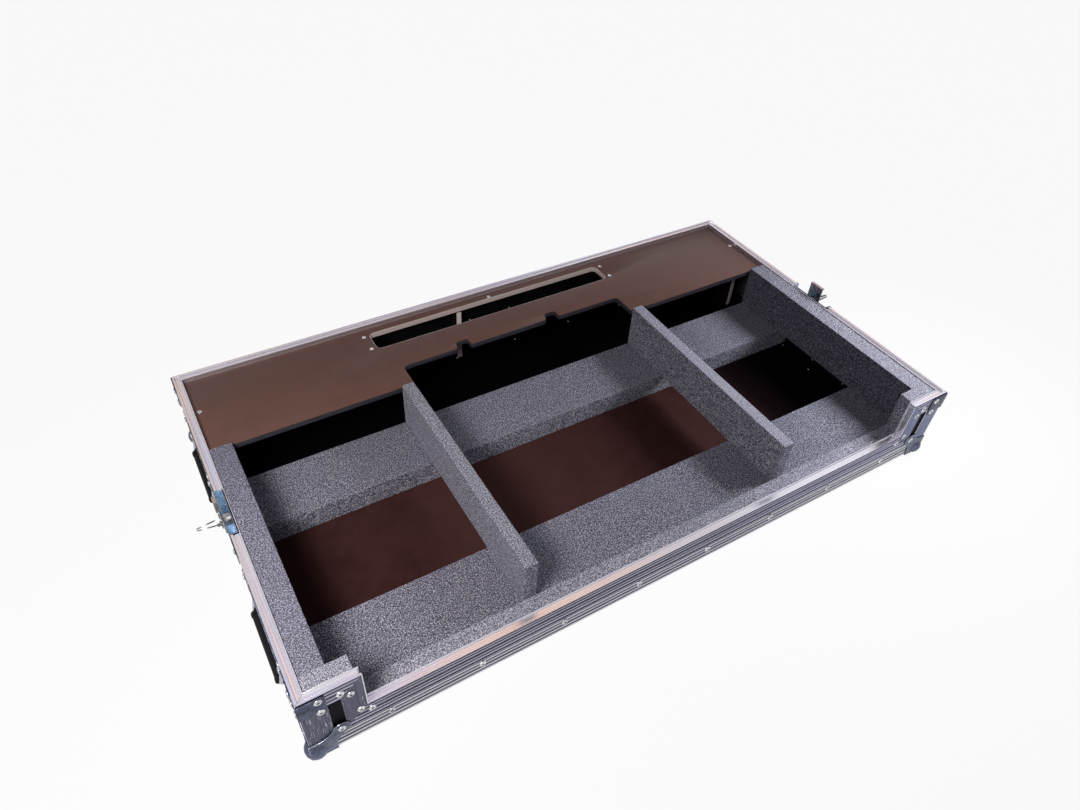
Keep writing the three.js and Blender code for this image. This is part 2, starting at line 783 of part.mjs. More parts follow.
// The handle's dish, with a bored ear on each side wall for the ends of the bail.
function handleDish() {
  const flange = {
    width: handleFlangeWidth,
    height: handleFlangeHeight,
    radius: handleFlangeRadius,
  };
  const mouth = {
    width: handleMouthWidth,
    height: handleMouthHeight,
    radius: handleMouthRadius,
  };
  const depth = bailHingeDepth - flangeOut;
  const bore = bailWire + runningGap;
  const earIn = gripLength / 2 + 2 * bore + fitGap;
  const earOut = handleMouthWidth / 2 + steelSheet / 2;
  const boreEnd = handleMouthWidth / 2 - steelSheet;
  const ears = [-1, 1].map((end) => rod(earRadius, end * earIn, end * earOut, smallSides));
  const bores = [-1, 1].map((end) => rod(bore, end * (earIn - fitGap), end * boreEnd, smallSides));
  const atHinge = (piece) => piece.translate(0, bailHingeRise, depth);
  const dish = pressedDish(flange, mouth, handleRecess, handleTaper);
  return cut(join(dish, ...ears.map(atHinge)), ...bores.map(atHinge));
}

function addHandles() {
  const dish = handleDish();
  const bail = handleBail();
  for (const side of ['left', 'right']) {
    for (const [end, place] of [['front', -handlePlace], ['rear', handlePlace]]) {
      const group = sideGroup(side, place, handleZ);
      add(`${side}_${end}_handle_dish`, 'steel', dish, group).position.z = flangeOut;
      add(`${side}_${end}_handle_bail`, 'rubber', bail, group).position.set(
        0,
        bailHingeRise,
        bailHingeDepth,
      );
    }
  }
}

// The latch's dish, open at the rim, with the bore that carries the spindle.
function latchDish() {
  const lap = steelSheet + latchFlangeLap;
  const flange = {
    width: latchMouthWidth + 2 * lap,
    height: 2 * (latchMouthHeight + lap),
    radius: latchMouthRadius,
  };
  const mouth = {
    width: latchMouthWidth,
    height: 2 * latchMouthHeight,
    radius: latchMouthRadius,
  };
  const dish = pressedDish(flange, mouth, latchRecess, latchTaper);
  const aboveRim = block(
    vec(-flange.width, 0, -cutOverrun),
    vec(flange.width, flange.height, cutOverrun),
  );
  const bore = deepRod(spindleShaft + runningGap, 0, cutOverrun).translate(0, -spindleDrop, 0);
  return cut(dish, aboveRim, bore);
}

// The turning part of a latch: a disc with the lugs and pins of both leaves on its face, and on
// its back the crank pin that moves the hook, a collar and the shaft. Local y is the hinge line.
function latchSpindle() {
  const inDisc = (discFace + discBack) / 2;
  const disc = deepRod(spindleDiscRadius, discFace, discBack);
  const collar = deepRod(collarRadius, hookBack + fitGap, latchFloor - fitGap);
  const shaft = deepRod(spindleShaft, inDisc, latchFloor + steelSheet);
  const crank = deepRod(crankPin, inDisc, hookBack + hookThickness, smallSides);
  crank.translate(0, crankRadius, 0);
  const lugIn = leafBarrelLength / 2 + fitGap;
  const lugMiddle = lugIn + lugThickness / 2;
  const wide = leafSpacing + lugMargin;
  const lug = block(
    vec(-wide, -lugThickness / 2, discFace - lugHeight),
    vec(wide, lugThickness / 2, inDisc),
  );
  const lugs = [-lugMiddle, lugMiddle].map((place) => lug.clone().translate(0, place, 0));
  const pins = [-leafSpacing, leafSpacing].map((place) =>
    crossRod(leafPin, -lugMiddle, lugMiddle, smallSides).translate(place, 0, leafAxis),
  );
  return join(disc, collar, shaft, crank, ...lugs, ...pins);
}

// The sliding hook: a plate with a lip bent outwards along its top. A cross-shaped window clears
// the shaft, which stays in place, and holds the crank pin in its wide part. Local y is the
// height above the spindle.
function latchHook() {
  const top = spindleDrop + hookRise;
  const half = hookWidth / 2;
  const outline = roundedPath([
    [-half, -hookTail, hookCornerRadius],
    [half, -hookTail, hookCornerRadius],
    [half, top, 0],
    [-half, top, 0],
  ]);
  const shaftHalf = spindleShaft + runningGap;
  const shaftTop = crankRise + crankRadius + shaftHalf;
  const shaftFoot = crankRise - crankRadius - shaftHalf;
  const pinReach = crankRadius + crankPin + crankClearance;
  const pinTop = crankRise + crankPin + crankClearance;
  const pinFoot = crankRise - crankPin - crankClearance;
  const window = [
    [-shaftHalf, shaftFoot],
    [shaftHalf, shaftFoot],
    [shaftHalf, pinFoot],
    [pinReach, pinFoot],
    [pinReach, pinTop],
    [shaftHalf, pinTop],
    [shaftHalf, shaftTop],
    [-shaftHalf, shaftTop],
    [-shaftHalf, pinTop],
    [-pinReach, pinTop],
    [-pinReach, pinFoot],
    [-shaftHalf, pinFoot],
  ];
  outline.holes.push(new THREE.Path(window.map(([x, y]) => new THREE.Vector2(x, y))));
  const blade = plate(outline, hookThickness, cornerSteps).translate(0, 0, hookFace);
  const lip = block(
    vec(-half, top - hookThickness, hookFace - hookLip),
    vec(half, top, hookFace + hookThickness / 2),
  );
  return join(blade, lip);
}

// One leaf of the butterfly: a barrel on its pin and a wing-shaped plate. Local x runs from the
// pin to the tip, and local y is the hinge line.
function latchLeaf() {
  const neck = leafBarrelLength / 2;
  const wide = leafWidth / 2;
  const shoulder = leafNeck + wide - neck;
  const outline = roundedPath([
    [0, -neck, 0],
    [leafNeck, -neck, 0],
    [shoulder, -wide, leafNeck],
    [leafLength, leafTipTaper - wide, leafTipRadius],
    [leafLength, wide - leafTipTaper, leafTipRadius],
    [shoulder, wide, leafNeck],
    [leafNeck, neck, 0],
    [0, neck, 0],
  ]);
  const wing = plate(outline, leafThickness, cornerSteps).translate(0, 0, -leafThickness / 2);
  const barrel = crossRod(leafBarrelRadius, -neck, neck, smallSides);
  const bore = crossRod(leafPin + runningGap, -neck - cutOverrun, neck + cutOverrun, smallSides);
  return cut(join(wing, barrel), bore);
}

function addLatches() {
  const dish = latchDish();
  const spindle = latchSpindle();
  const hook = latchHook();
  const leaf = latchLeaf();
  const lean = Math.asin((leafSpacing - leafTipGap - leafThickness / 2) / leafLength);
  for (const side of ['left', 'right']) {
    const group = sideGroup(side, 0, rimZ);
    add(`${side}_latch_dish`, 'steel', dish, group).position.z = flangeOut;
    add(`${side}_latch_hook`, 'steel', hook, group).position.y = -spindleDrop;
    const turned = new THREE.Group();
    turned.position.y = -spindleDrop;
    turned.rotation.z = openTurn;
    group.add(turned);
    add(`${side}_latch_spindle`, 'steel', spindle, turned);
    for (const [name, way] of [['rear', 1], ['front', -1]]) {
      const mesh = add(`${side}_latch_${name}_leaf`, 'steel', leaf, turned);
      mesh.position.set(way * leafSpacing, 0, leafAxis);
      mesh.rotation.y = Math.PI / 2 + way * lean;
    }
  }
}

addPanels();
addEdgeAngles();
addRim();
addCorners();
addShelf();
addFoam();
addHandles();
addLatches();

export default model;
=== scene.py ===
"""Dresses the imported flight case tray: finishes, cut foam, rivets and screws, studio and camera."""

import math

import bmesh
import bpy
from mathutils import Matrix, Vector, noise


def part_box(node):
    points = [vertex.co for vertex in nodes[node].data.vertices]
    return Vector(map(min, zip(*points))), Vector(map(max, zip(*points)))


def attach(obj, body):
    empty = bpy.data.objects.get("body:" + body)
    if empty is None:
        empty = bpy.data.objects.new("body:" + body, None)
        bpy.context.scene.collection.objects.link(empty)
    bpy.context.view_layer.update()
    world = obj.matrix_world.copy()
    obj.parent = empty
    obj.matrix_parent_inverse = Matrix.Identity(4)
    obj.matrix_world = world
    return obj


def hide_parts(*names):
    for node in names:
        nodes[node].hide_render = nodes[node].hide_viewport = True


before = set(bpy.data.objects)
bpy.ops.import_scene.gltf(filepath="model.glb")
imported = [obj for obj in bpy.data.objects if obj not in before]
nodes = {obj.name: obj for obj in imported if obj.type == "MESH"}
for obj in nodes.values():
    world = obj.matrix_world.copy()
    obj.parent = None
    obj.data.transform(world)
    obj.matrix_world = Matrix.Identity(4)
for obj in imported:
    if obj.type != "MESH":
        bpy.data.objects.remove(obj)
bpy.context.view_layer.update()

MM = 0.001

# Places of the tray in millimetres, as in the source
HALF_X, HALF_Y = 555.0, 310.0                   # outer faces from the middle
BASE, RIM, FRONT_RIM = 7.2, 144.2, 72.2         # underside of the panels, tops of the rims
FLOOR_TOP, SHELF_TOP = 18.6, 135.7
WALL_IN = 11.4                                  # inner face of a side or rear panel
NOTCH_IN = 79.0                                 # side of the front notch from the outer face
FOOT_TOP = BASE + 32                            # upper edge of the bottom angles
HANDLE_Y, HANDLE_Z = 165.0, 73.2                # middle of a handle's dish
GRIP_OUT, GRIP_Z, GRIP_RADIUS, GRIP_HALF = 3.2, 55.2, 7.8, 55.1
SLOT_X, SLOT_Y, SLOT_MIDDLE, SLOT_RADIUS = 236.0, 22.0, 258.1, 9.0
CAVITY_Y = 0.125                                # front of the cable cavity, in metres
RIBS, RIM_PITCH, FOOT_PITCH = 4, 7.5, 8.1       # ribs drawn on a leg and their steps
DRAWN_PITCH = 3.6                               # drawn lines in the channel's floor
PLY = 1.9                                       # thickness of a ply
PLATE = 1.6                                     # sheet metal of the braces and dishes
BALL_PLATE = 1.8                                # and of the ball corners' wings
BALL_RIVET, BRACE_RIVET = 41.5, 24.3            # their rivets from the outer faces
LOW_ROW, HIGH_ROW = BASE + 21, RIM - 20         # levels of the rivet rows
WALL_SEAT = 1.9                                 # foam walls reach into the front foam's end blocks
END_BLOCK, STRIP_SINK = 60, 1.5                 # length of those blocks, and drop of the strip


def mm(*values):
    return Vector(values) * MM


def scaled(colour, share, top=1.0):
    return tuple(min(top, share * value) for value in colour)


# ---------------------------------------------------------------- finishes

class Finish:
    """A material with short calls for its nodes. Places are in metres in the piece's own frame,
    which is the tray's at rest."""

    def __init__(self, name, **shader):
        self.material = bpy.data.materials.new(name)
        self.material.use_nodes = True
        self.tree = self.material.node_tree
        self.shader = self.tree.nodes["Principled BSDF"]
        for key, value in shader.items():
            label = key.replace("_", " ").title().replace("Ior", "IOR")
            self.shader.inputs[label].default_value = value
        self.place = self.add("ShaderNodeTexCoord").outputs["Object"]
        self.normal = self.add("ShaderNodeNewGeometry").outputs["Normal"]

    def add(self, kind, inputs=None, **props):
        node = self.tree.nodes.new(kind)
        for key, value in props.items():
            setattr(node, key, value)
        for key, value in (inputs or {}).items():
            if isinstance(value, bpy.types.NodeSocket):
                self.tree.links.new(value, node.inputs[key])
            else:
                node.inputs[key].default_value = value
        return node

    def math(self, operation, a, b=0.0):
        return self.add("ShaderNodeMath", {0: a, 1: b}, operation=operation).outputs[0]

    def stretch(self, x, y, z, turn=0.0):
        node = self.add("ShaderNodeMapping", {
            "Vector": self.place, "Scale": (x, y, z), "Rotation": (0, 0, turn)})
        return node.outputs[0]

    def noise(self, vector=None, scale=1.0, detail=2.0, roughness=0.5, distortion=0.0):
        node = self.add("ShaderNodeTexNoise", {
            "Vector": vector or self.place, "Scale": scale, "Detail": detail,
            "Roughness": roughness, "Distortion": distortion})
        return node.outputs["Fac"]

    def cells(self, scale):
        node = self.add("ShaderNodeTexVoronoi", {"Vector": self.place, "Scale": scale})
        return node.outputs["Distance"]

    def ramp(self, value, *stops):
        node = self.add("ShaderNodeValToRGB", {"Fac": value})
        elements = node.color_ramp.elements
        while len(elements) < len(stops):
            elements.new(0.5)
        for element, (position, colour) in zip(elements, stops):
            element.position = position
            element.color = (*colour, 1)
        return node.outputs["Color"]

    def span(self, value, low, high, to_low=0.0, to_high=1.0):
        node = self.add("ShaderNodeMapRange", {
            "Value": value, "From Min": low, "From Max": high, "To Min": to_low, "To Max": to_high})
        return node.outputs["Result"]

    def mix(self, factor, first, second):
        node = self.add("ShaderNodeMix", data_type="RGBA")
        for index, value in ((0, factor), (6, first), (7, second)):
            if isinstance(value, bpy.types.NodeSocket):
                self.tree.links.new(value, node.inputs[index])
            else:
                node.inputs[index].default_value = value if index == 0 else (*value, 1)
        return node.outputs[2]

    def split(self, vector):
        node = self.add("ShaderNodeSeparateXYZ", {0: vector})
        return node.outputs

    def colour(self, value):
        self.tree.links.new(value, self.shader.inputs["Base Color"])

    def rough(self, value):
        self.tree.links.new(value, self.shader.inputs["Roughness"])

    def metal(self, value):
        self.tree.links.new(value, self.shader.inputs["Metallic"])

    def bump(self, height, strength, distance, under=None):
        inputs = {"Height": height, "Strength": strength, "Distance": distance * MM}
        if under is not None:
            inputs["Normal"] = under
        node = self.add("ShaderNodeBump", inputs)
        self.tree.links.new(node.outputs[0], self.shader.inputs["Normal"])
        return node.outputs[0]


def aluminium(name, along, side, grooves=(), streaks=0.68, seat=None, lip=None):
    """Drawn, satin anodised aluminium with its lines along x, y or z. The outer faces of the legs
    are painted darker than the channel in the two tones of side, as painted shade, and paler to
    the right, as painted light, with brushed streaks where the noise passes the level of streaks.
    Grooves are painted shade in the hollows between ribs with a painted highlight on the pale ribs:
    (axis that the ribs step along, edge, pitch, axis of the normal, first rib). The seat is the
    level of an upper edge in a gap, painted near black there as painted shade, and the lip is the
    place in x of a painted highlight along the edge beside the notch."""
    finish = Finish(name, metallic=0.75)
    fine = [1000.0, 1000.0, 1000.0]
    fine[along] = 6.0
    lines = finish.noise(finish.stretch(*fine), detail=3, roughness=0.7)
    fine[along] = 28.0
    strokes = finish.noise(finish.stretch(*fine), scale=1.3, detail=2, roughness=0.6)
    clouds = finish.noise(scale=9, detail=4, roughness=0.6)
    scuffs = finish.noise(finish.stretch(60, 900, 60, 0.8), detail=2)
    shade = finish.mix(finish.span(lines, 0.35, 0.65, 0.42, 0),
                       (0.79, 0.77, 0.81), (0.42, 0.40, 0.43))
    shade = finish.mix(finish.span(clouds, 0.35, 0.7, 0, 0.25), shade, (0.50, 0.485, 0.53))
    shade = finish.mix(finish.span(scuffs, 0.6, 0.75, 0, 0.3), shade, (0.86, 0.85, 0.88))
    position = finish.split(finish.place)
    normal = finish.split(finish.normal)
    if along < 2:
        # The drawn lines in the floor of the channel
        inset = finish.math("SUBTRACT", (HALF_Y, HALF_X)[along] * MM,
                            finish.math("ABSOLUTE", position[1 - along]))
        ripple = finish.math("PINGPONG", finish.math("DIVIDE", inset, DRAWN_PITCH * MM), 0.5)
        drawn = finish.math("MULTIPLY", finish.span(ripple, 0.05, 0.2, 0.35, 0),
                            finish.span(normal[2], 0.8, 0.9))
        shade = finish.mix(drawn, shade, (0.38, 0.36, 0.40))
    # Painted shade: the outer faces of the legs take the darker tones of side in place of the
    # channel's
    outer = None
    for axis, half in ((0, HALF_X), (1, HALF_Y)):
        away = finish.math("ABSOLUTE", position[axis])
        out = finish.span(away, (half - 0.9) * MM, (half - 0.6) * MM)
        turned = finish.span(finish.math("ABSOLUTE", normal[axis]), 0.4, 0.6)
        face = finish.math("MULTIPLY", out, turned)
        outer = face if outer is None else finish.math("MAXIMUM", outer, face)
    dark, pale = side
    wall = finish.mix(finish.span(lines, 0.32, 0.68), dark, pale)
    wall = finish.mix(finish.span(clouds, 0.35, 0.7, 0, 0.4), wall, pale)
    # Painted light: the legs grow paler to the right
    painted_lit_tone = tuple(min(0.9, share * value) for share, value in zip((2.0, 2.15, 2.4), pale))
    wall = finish.mix(finish.span(position[0], 0.1, 0.45, 0, 0.6), wall, painted_lit_tone)
    for axis, edge, pitch, face, start in grooves:
        away = finish.math("ABSOLUTE", position[axis])
        turn = finish.math("DIVIDE", finish.math("SUBTRACT", edge * MM, away), pitch * MM)
        first = finish.span(turn, start - 0.05, start)
        last = finish.span(turn, RIBS - 0.05, RIBS + 0.05, 1, 0)
        facing = finish.span(finish.math("ABSOLUTE", normal[face]), 0.4, 0.6)
        inside = finish.math("MULTIPLY", facing, finish.math("MULTIPLY", first, last))
        # Painted shade in the hollows between the ribs and a painted highlight on their crests
        rib = finish.math("PINGPONG", turn, 0.5)
        hollow = finish.span(rib, 0.1, 0.24, 0.92, 0)
        painted_rib_highlight = finish.span(rib, 0.26, 0.4, 0, 0.8)
        wall = finish.mix(finish.math("MULTIPLY", hollow, inside), wall, scaled(dark, 0.15))
        wall = finish.mix(finish.math("MULTIPLY", painted_rib_highlight, inside), wall, scaled(pale, 1.8, 0.8))
    stroked = finish.span(strokes, streaks, streaks + 0.07, 0, 0.9)
    wall = finish.mix(stroked, wall, (0.78, 0.78, 0.82))
    if lip is not None:
        # Painted highlight: a pale line along the edge beside the notch
        away = finish.math("ABSOLUTE", position[0])
        painted_lip_highlight = finish.span(away, (lip + 1.2) * MM, (lip + 1.5) * MM, 1, 0)
        wall = finish.mix(painted_lip_highlight, wall, (0.88, 0.88, 0.92))
    shade = finish.mix(outer, shade, wall)
    edge_tint = finish.mix(outer, (1.0, 1.0, 1.0), (0.25, 0.25, 0.3))
    finish.tree.links.new(edge_tint, finish.shader.inputs["Specular Tint"])
    if seat is not None:
        # Painted shade: the upward face of the upper edge in the gap is painted near black
        off = finish.math("ABSOLUTE", finish.math("SUBTRACT", position[2], seat * MM))
        level = finish.span(off, 0.2 * MM, 0.3 * MM, 1, 0)
        painted_gap_shade = finish.math("MULTIPLY", level, finish.span(normal[2], 0.8, 0.9))
        shade = finish.mix(painted_gap_shade, shade, (0.012, 0.011, 0.015))
    finish.colour(shade)
    finish.rough(finish.span(lines, 0.2, 0.8, 0.2, 0.3))
    finish.bump(lines, 0.06, 0.1)
    return finish.material


def zinc(name, dark, pale, rough):
    """Zinc plated steel: blotches, grain, bright specks and fine scratches."""
    finish = Finish(name, metallic=1.0)
    blotch = finish.noise(scale=55, detail=5, roughness=0.65, distortion=0.6)
    grain = finish.noise(scale=420, detail=3, roughness=0.7)
    scratch = finish.noise(finish.stretch(40, 700, 200, 0.5), detail=2)
    shade = finish.mix(finish.span(blotch, 0.34, 0.66), dark, pale)
    shade = finish.mix(finish.span(grain, 0.35, 0.75, 0, 0.35), shade, scaled(dark, 0.6))
    speck = finish.noise(scale=330, detail=2, roughness=0.8)
    shade = finish.mix(finish.span(speck, 0.56, 0.66, 0, 0.75), shade, scaled(pale, 1.4))
    shade = finish.mix(finish.span(scratch, 0.62, 0.75, 0, 0.5), shade, scaled(pale, 1.5))
    finish.colour(shade)
    finish.rough(finish.span(blotch, 0.3, 0.7, rough, rough + 0.16))
    finish.bump(grain, 0.25, 0.12)
    return finish.material


def film_ply(name, dark, pale, edges, gloss):
    """Film-faced plywood: a faint mottle, flecks and scratches in the film, and one of three edges:
    "bare" has pale wood to the front and rear and film on the other sides, "both" has dark edges
    but pale wood round the shelf's slot, and "stained_edges_painted_light" is the floor's, with all
    edges dark and painted light and shade in its film."""
    finish = Finish(name, specular_ior_level=gloss)
    mottle = finish.noise(scale=26, detail=6, roughness=0.62)
    fleck = finish.noise(scale=900, detail=1)
    scratch = finish.noise(finish.stretch(14, 800, 40, 0.35), detail=2)
    film = finish.mix(finish.span(mottle, 0.3, 0.7), dark, pale)
    film = finish.mix(finish.span(fleck, 0.6, 0.8, 0, 0.25), film, scaled(pale, 1.5))
    film = finish.mix(finish.span(scratch, 0.68, 0.8, 0, 0.3), film, scaled(pale, 1.8))
    position = finish.split(finish.place)
    normal = finish.split(finish.normal)
    flat = finish.span(finish.math("ABSOLUTE", normal[2]), 0.6, 0.8)
    grain = finish.noise(finish.stretch(30, 30, 700), detail=3)
    if edges == "bare":
        upright = finish.noise(finish.stretch(500, 500, 20), detail=3)
        end = finish.mix(finish.span(upright, 0.35, 0.65), (0.74, 0.60, 0.55), (1.0, 0.88, 0.83))
        side = finish.mix(finish.span(finish.math("ABSOLUTE", normal[1]), 0.6, 0.8), film, end)
    else:
        side = finish.mix(finish.span(grain, 0.3, 0.7), (0.035, 0.032, 0.04), (0.075, 0.07, 0.085))
    if edges == "both":
        # The wood and its plies show round the long slot, and on its rubbed arris
        plies = finish.math("PINGPONG", finish.math("DIVIDE", position[2], PLY * MM), 0.5)
        wood = finish.mix(finish.span(plies, 0.1, 0.25), (0.62, 0.47, 0.42), (1.0, 0.84, 0.79))
        wood = finish.mix(finish.span(grain, 0.3, 0.7, 0, 0.3), wood, (0.80, 0.66, 0.61))
        beyond = []
        for axis, middle, half in ((0, 0.0, SLOT_X), (1, SLOT_MIDDLE, SLOT_Y)):
            away = finish.math("ABSOLUTE", finish.math("SUBTRACT", position[axis], middle * MM))
            away = finish.math("SUBTRACT", away, (half - SLOT_RADIUS) * MM)
            away = finish.math("MAXIMUM", away, 0.0)
            beyond.append(finish.math("MULTIPLY", away, away))
        reach = finish.math("SQRT", finish.math("ADD", *beyond))
        rubbed = finish.span(reach, (SLOT_RADIUS + 0.8) * MM, (SLOT_RADIUS + 1.1) * MM, 1, 0)
        film = finish.mix(rubbed, film, (0.96, 0.80, 0.74))
        side = finish.mix(finish.span(position[1], 0.205, 0.215), side, wood)
    elif edges == "stained_edges_painted_light":
        # Painted light and shade: the floor's film has a painted pool of light in the middle bay, and
        # painted shadow at the right and in the cable cavity
        painted_pool_reach = finish.math("ABSOLUTE", finish.math("ADD", position[0], 0.13))
        film = finish.mix(finish.span(painted_pool_reach, 0.02, 0.2, 0.7, 0), film, (0.085, 0.037, 0.034))
        painted_shadow = finish.span(position[0], 0.24, 0.38, 0, 0.92)
        film = finish.mix(painted_shadow, film, (0.004, 0.003, 0.004))
        inside = finish.span(position[1], CAVITY_Y - 0.025, CAVITY_Y + 0.025)
        film = finish.mix(inside, film, (0.003, 0.0025, 0.003))
    finish.colour(finish.mix(flat, side, film))
    finish.rough(finish.span(mottle, 0.3, 0.7, 0.34, 0.46))
    finish.bump(finish.noise(scale=500, detail=2), 0.12, 0.12)
    return finish.material


def laminate():
    """Black laminate with a fine pebbled face."""
    finish = Finish("black_laminate", specular_ior_level=0.02)
    pebble = finish.cells(scale=800)
    mottle = finish.noise(scale=18, detail=4)
    finish.colour(finish.mix(finish.span(mottle, 0.3, 0.7),
                             (0.0035, 0.003, 0.0045), (0.008, 0.0075, 0.010)))
    finish.rough(finish.span(mottle, 0.3, 0.7, 0.42, 0.55))
    finish.bump(pebble, 0.3, 0.2)
    return finish.material


def cut_foam(name, face_tone, top_tone):
    """Open-cell foam: light and dark cells and open pores on the faces, and paler cells on the
    sawn top where top_tone is above face_tone; the paler top is painted light. The tones are the
    mean reflectance of each, set piece by piece as painted light and shade."""
    finish = Finish(name, roughness=1.0, specular_ior_level=0.0)
    finish.shader.inputs["Sheen Weight"].default_value = 0.3
    finish.shader.inputs["Sheen Roughness"].default_value = 0.5
    finish.shader.inputs["Sheen Tint"].default_value = (0.80, 0.80, 1.0, 1)
    cells = finish.noise(scale=600, detail=1.5, roughness=0.75)
    pores = finish.cells(scale=700)
    fine = finish.noise(scale=600, detail=1.5, roughness=0.75)
    clouds = finish.noise(scale=14, detail=3)

    def speckle(field, low, high, tone, *levels):
        stops = []
        for step, level in enumerate(levels):
            grey = min(0.95, level * tone)
            place = low + (high - low) * step / (len(levels) - 1)
            stops.append((place, (grey, 0.985 * grey, min(1.0, 1.27 * grey))))
        return finish.ramp(field, *stops)

    face = speckle(cells, 0.34, 0.68, face_tone, 0.06, 0.5, 1.6, 5.2)
    face = finish.mix(finish.span(pores, 0.0, 0.30, 0.5, 0), face, (0.014, 0.013, 0.018))
    # Painted light: the top is paler than the faces
    sawn = speckle(fine, 0.36, 0.66, top_tone, 0.2, 0.85, 2.8)
    level = finish.span(finish.split(finish.normal)[2], 0.55, 0.8)
    if top_tone > face_tone:
        face = finish.mix(level, face, sawn)
    grey = 0.8 * face_tone
    face = finish.mix(finish.span(clouds, 0.3, 0.7, 0, 0.14), face, (grey, grey, 1.25 * grey))
    finish.colour(face)
    under = finish.bump(cells, 0.7, 0.5)
    finish.bump(finish.noise(scale=190, detail=2), 0.3, 0.7, under)
    return finish.material


def grip_and_wire(name, side, end):
    """A bail: the wire is bright zinc, and the moulded grip round its lower run is black."""
    finish = Finish(name, specular_ior_level=0.12)
    position = finish.split(finish.place)
    across = finish.math("SUBTRACT", position[0], side * (HALF_X + GRIP_OUT) * MM)
    up = finish.math("SUBTRACT", position[2], GRIP_Z * MM)
    reach = finish.math("SQRT", finish.math(
        "ADD", finish.math("MULTIPLY", across, across), finish.math("MULTIPLY", up, up)))
    along = finish.math("ABSOLUTE", finish.math("SUBTRACT", position[1], end * HANDLE_Y * MM))
    grip = finish.math("MULTIPLY",
                       finish.span(reach, (GRIP_RADIUS - 0.2) * MM, (GRIP_RADIUS + 0.2) * MM, 1, 0),
                       finish.span(along, (GRIP_HALF - 0.05) * MM, (GRIP_HALF + 0.05) * MM, 1, 0))
    grain = finish.noise(scale=700, detail=3)
    rubber = finish.mix(finish.span(grain, 0.3, 0.7), (0.004, 0.004, 0.005), (0.012, 0.012, 0.013))
    wire = finish.mix(finish.span(grain, 0.3, 0.7), (0.30, 0.32, 0.38), (0.58, 0.60, 0.68))
    finish.colour(finish.mix(grip, wire, rubber))
    finish.metal(finish.math("SUBTRACT", 1.0, grip))
    finish.rough(finish.span(grip, 0, 1, 0.28, 0.62))
    finish.bump(grain, 0.3, 0.2)
    return finish.material


brown = film_ply("brown_film_ply", (0.157, 0.080, 0.063), (0.183, 0.095, 0.075), "both", 0.2)
brown_floor = film_ply("brown_film_floor", (0.047, 0.018, 0.017), (0.066, 0.028, 0.027),
                       "stained_edges_painted_light", 0.0)
# The film of the ribs, battens and post is painted near black: painted shade under the shelf
bare_ply_painted_shade = film_ply("bare_ply_painted_shade", (0.012, 0.006, 0.006), (0.018, 0.009, 0.008), "bare", 0.02)
black = laminate()
# Each piece's face and top tones are painted light and shade: paler where the lights fall, and darker
# on the right wall's face, which is in shade
foam_of = {
    "left_foam_wall": cut_foam("foam_left_wall", 0.20, 0.245),
    "right_foam_wall": cut_foam("foam_right_wall", 0.11, 0.37),
    "left_foam_divider": cut_foam("foam_left_divider", 0.22, 0.37),
    "right_foam_divider": cut_foam("foam_right_divider", 0.23, 0.57),
    "front_foam": cut_foam("foam_front", 0.24, 0.38),
}
ledge_foam = cut_foam("foam_ledge", 0.215, 0.215)
ball_zinc = zinc("zinc_ball_corner", (0.04, 0.047, 0.076), (0.16, 0.18, 0.265), 0.34)
brace_zinc = zinc("zinc_brace", (0.016, 0.021, 0.038), (0.085, 0.105, 0.165), 0.34)
dish_zinc = zinc("zinc_dish", (0.06, 0.11, 0.17), (0.34, 0.46, 0.60), 0.2)
handle_zinc = zinc("zinc_handle_dish", (0.10, 0.12, 0.15), (0.44, 0.48, 0.54), 0.24)
leaf_zinc = zinc("zinc_leaf", (0.025, 0.03, 0.033), (0.26, 0.28, 0.27), 0.22)
latch_zinc = zinc("zinc_latch", (0.09, 0.105, 0.12), (0.50, 0.48, 0.47), 0.2)
rivet_zinc = zinc("zinc_rivet", (0.34, 0.34, 0.37), (0.80, 0.79, 0.80), 0.2)

# Paler finishes for the bevelled arrises: painted highlights along the edges
arris_highlight_zinc = zinc("zinc_arris_painted_highlight", (0.55, 0.57, 0.62), (0.93, 0.94, 0.97), 0.2)
arris_highlight_aluminium = zinc("aluminium_arris_painted_highlight", (0.55, 0.55, 0.60), (0.90, 0.90, 0.94), 0.2)
# The hollow of a rivet's pin, painted near black as painted shade
pin_hollow_painted_shade = zinc("rivet_hollow_painted_shade", (0.012, 0.012, 0.014), (0.07, 0.07, 0.08), 0.4)

# Dark and pale tone of the rim's legs, of the bottom angles and of the posts, painted darker than the
# channel as painted shade
LEG = ((0.135, 0.132, 0.164), (0.30, 0.295, 0.363))
FOOT = ((0.20, 0.191, 0.23), (0.43, 0.417, 0.50))
POST = ((0.09, 0.092, 0.12), (0.18, 0.184, 0.24))
rim_ribs = [(2, RIM - 0.8, RIM_PITCH, face, 0.0) for face in (0, 1)]
front_ribs = [(2, FRONT_RIM - 0.8, RIM_PITCH, 1, 0.0)]
alu_rim_x = aluminium("aluminium_rim_x", 0, LEG, rim_ribs)
alu_rim_y = aluminium("aluminium_rim_y", 1, LEG, rim_ribs)
alu_front = aluminium("aluminium_rim_front", 0, LEG, front_ribs)
alu_notch = aluminium("aluminium_notch", 2, POST, streaks=0.64, lip=HALF_X - NOTCH_IN)
alu_base_x, alu_base_y = (
    aluminium(f"aluminium_base_{letter}", axis, FOOT,
              [(2, FOOT_TOP - 1.7, FOOT_PITCH, 1 - axis, 0.4)], seat=FOOT_TOP)
    for axis, letter in enumerate("xy"))
alu_corner = aluminium("aluminium_corner", 2, POST, streaks=0.6)


def dress(name, material):
    node = nodes[name]
    node.data.materials.clear()
    node.data.materials.append(material)


